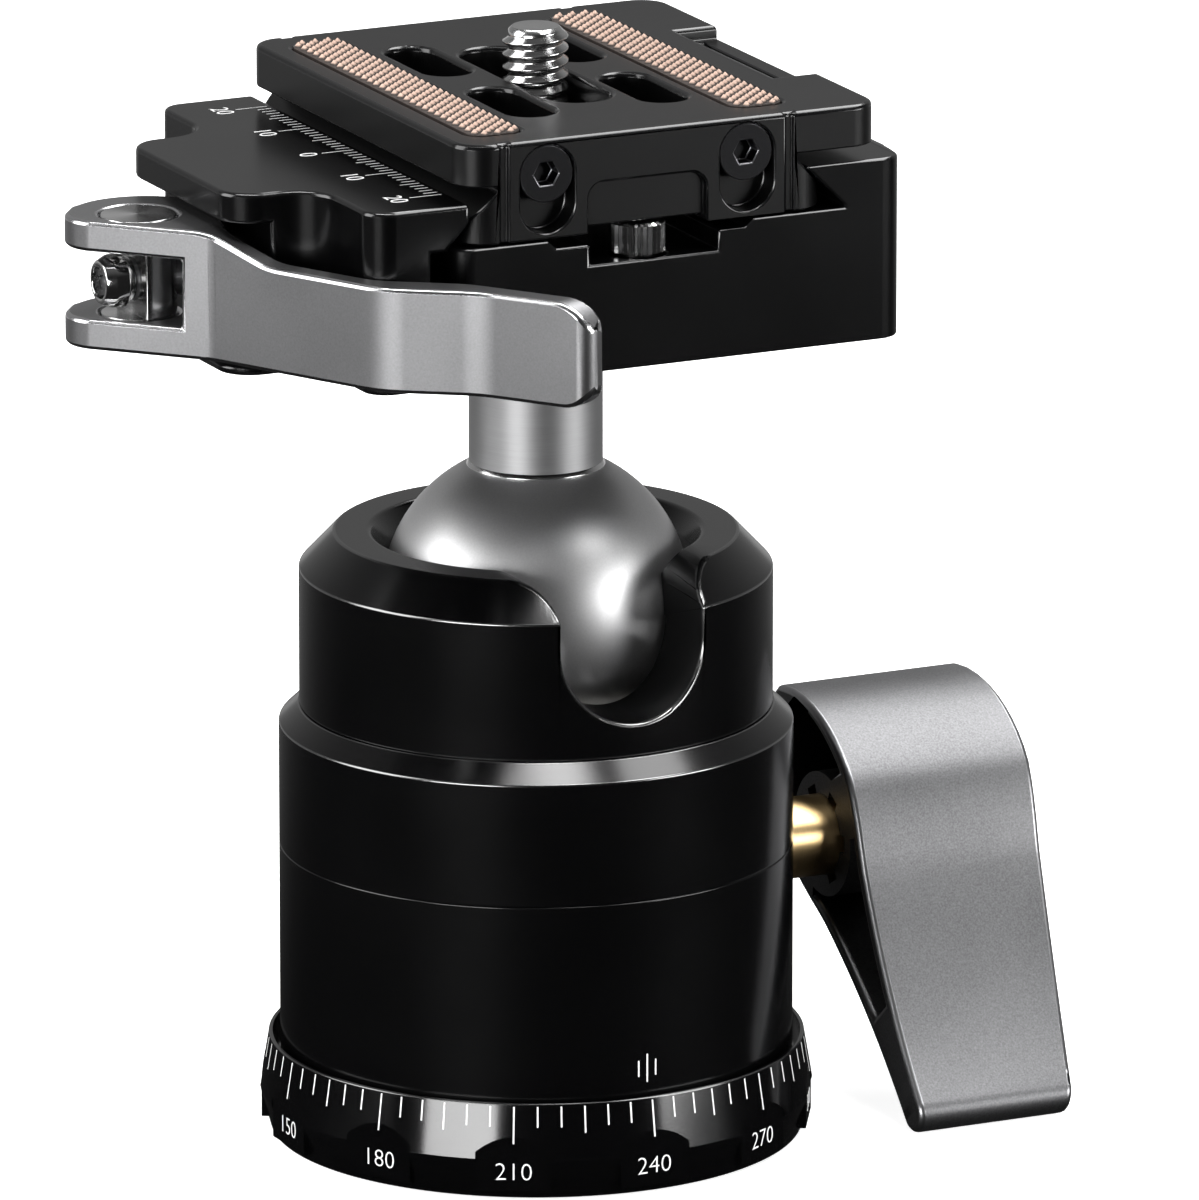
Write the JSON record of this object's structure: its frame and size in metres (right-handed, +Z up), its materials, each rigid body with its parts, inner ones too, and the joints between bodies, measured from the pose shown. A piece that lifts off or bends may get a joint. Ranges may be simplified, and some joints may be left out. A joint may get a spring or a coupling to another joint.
{
  "type": "tripod ball head",
  "caption": "Compact tripod ball head with a drop-notch ball socket, lock knob, panning scale base and a lever-operated dovetail clamp holding a quick-release camera plate.",
  "frame": {"origin": "centre of the tripod thread at the base's bottom face", "axes": "+Z up along the pan axis, +X along the lock shaft towards its knob, -Y towards the drop notch"},
  "size_m": [0.1002, 0.0794, 0.1098],
  "materials": {
    "black_anodised": "satin black anodised",
    "gunmetal": "satin hard anodised",
    "grey_satin": "satin grey",
    "blasted_grey": "bead blasted",
    "brass": "polished",
    "bright_steel": "polished",
    "steel": "turned",
    "black_steel": "black oxide",
    "polymer": "moulded",
    "grip_rubber": "matte with fine pyramids"
  },
  "bodies": {
    "base": {"scale_ring": "black_anodised", "base_plate": "steel", "thread_bush": "steel", "base_screws": "black_steel", "pan_spindle": "steel", "thrust_washer": "polymer", "wave_washer": "steel", "spindle_nut": "steel"},
    "housing": {"lower_housing": "black_anodised", "upper_housing": "black_anodised", "housing_screws": "black_steel", "shaft_bushing": "brass", "ball_collar": "black_anodised"},
    "ball_lock": {"lock_shaft": "brass", "lock_knob": "blasted_grey", "knob_screw": "black_steel"},
    "pressure_cup": {"cup_follower": "steel", "disc_springs": "steel", "pressure_cup": "polymer"},
    "pan_lock": {"pan_lock_screw": "steel", "pan_lock_knob": "black_anodised", "pan_lock_pad": "brass"},
    "ball": {"ball": "gunmetal"},
    "clamp": {"stem": "grey_satin", "stem_screw": "black_steel", "clamp_block": "black_anodised", "jaw_guide_pins": "steel", "jaw_springs": "steel", "draw_bolt": "steel", "dome_nut": "bright_steel", "barrel_pin": "bright_steel", "stop_pin_spring": "steel"},
    "clamp_lever": {"clamp_lever": "grey_satin"},
    "sliding_jaw": {"sliding_jaw": "black_anodised"},
    "stop_pin": {"stop_pin": "bright_steel"},
    "plate": {"plate": "black_anodised", "grip_strips": "grip_rubber", "end_screws": "black_steel"},
    "screw_retainer": {"screw_retainer": "steel"},
    "camera_screw": {"camera_screw": "bright_steel"}
  },
  "joints": [
    {"name": "pan", "type": "hinge", "parent": "base", "child": "housing", "pos_m": [0, 0, 0.018], "axis": [0, 0, 1], "continuous": true},
    {"name": "ball_lock_turn", "type": "hinge", "parent": "housing", "child": "ball_lock", "pos_m": [0, 0, 0.02535], "axis": [1, 0, 0], "range_deg": [-180, 0]},
    {"name": "cup_lift", "type": "slide", "parent": "housing", "child": "pressure_cup", "axis": [0, 0, 1], "range_m": [0, 0.00025]},
    {"name": "pan_lock_turn", "type": "hinge", "parent": "housing", "child": "pan_lock", "pos_m": [0, 0.03, 0.014], "axis": [0, 1, 0], "range_deg": [0, 270]},
    {"name": "ball_tilt", "type": "hinge", "parent": "housing", "child": "ball", "pos_m": [0, 0, 0.053], "axis": [1, 0, 0], "range_deg": [-40, 90]},
    {"name": "ball_spin", "type": "hinge", "parent": "ball", "child": "clamp", "pos_m": [0, 0, 0.053], "axis": [0, 0, 1], "continuous": true},
    {"name": "lever_turn", "type": "hinge", "parent": "clamp", "child": "clamp_lever", "pos_m": [-0.0418, 0, 0.0893], "axis": [0, 0, 1], "range_deg": [-120, 0]},
    {"name": "jaw_slide", "type": "slide", "parent": "clamp", "child": "sliding_jaw", "axis": [-1, 0, 0], "range_m": [0, 0.001]},
    {"name": "stop_pin_press", "type": "slide", "parent": "clamp", "child": "stop_pin", "axis": [0, 0, -1], "range_m": [0, 0.002], "stiffness_N_per_m": 800, "springref_m": -0.0005, "deforming": ["stop_pin_spring"]},
    {"name": "plate_slide", "type": "slide", "parent": "clamp", "child": "plate", "axis": [0, 1, 0], "range_m": [-0.01, 0.01]},
    {"name": "screw_slide", "type": "slide", "parent": "plate", "child": "screw_retainer", "axis": [0, 1, 0], "range_m": [-0.0085, 0.0085]},
    {"name": "camera_screw_turn", "type": "hinge", "parent": "screw_retainer", "child": "camera_screw", "pos_m": [0, 0, 0.1], "axis": [0, 0, 1], "continuous": true}
  ],
  "couplings": [
    {"joint": "cup_lift", "follows": "ball_lock_turn", "m_per_rad": -0.000079577},
    {"joint": "jaw_slide", "follows": "lever_turn", "m_per_rad": -0.00047746}
  ]
}
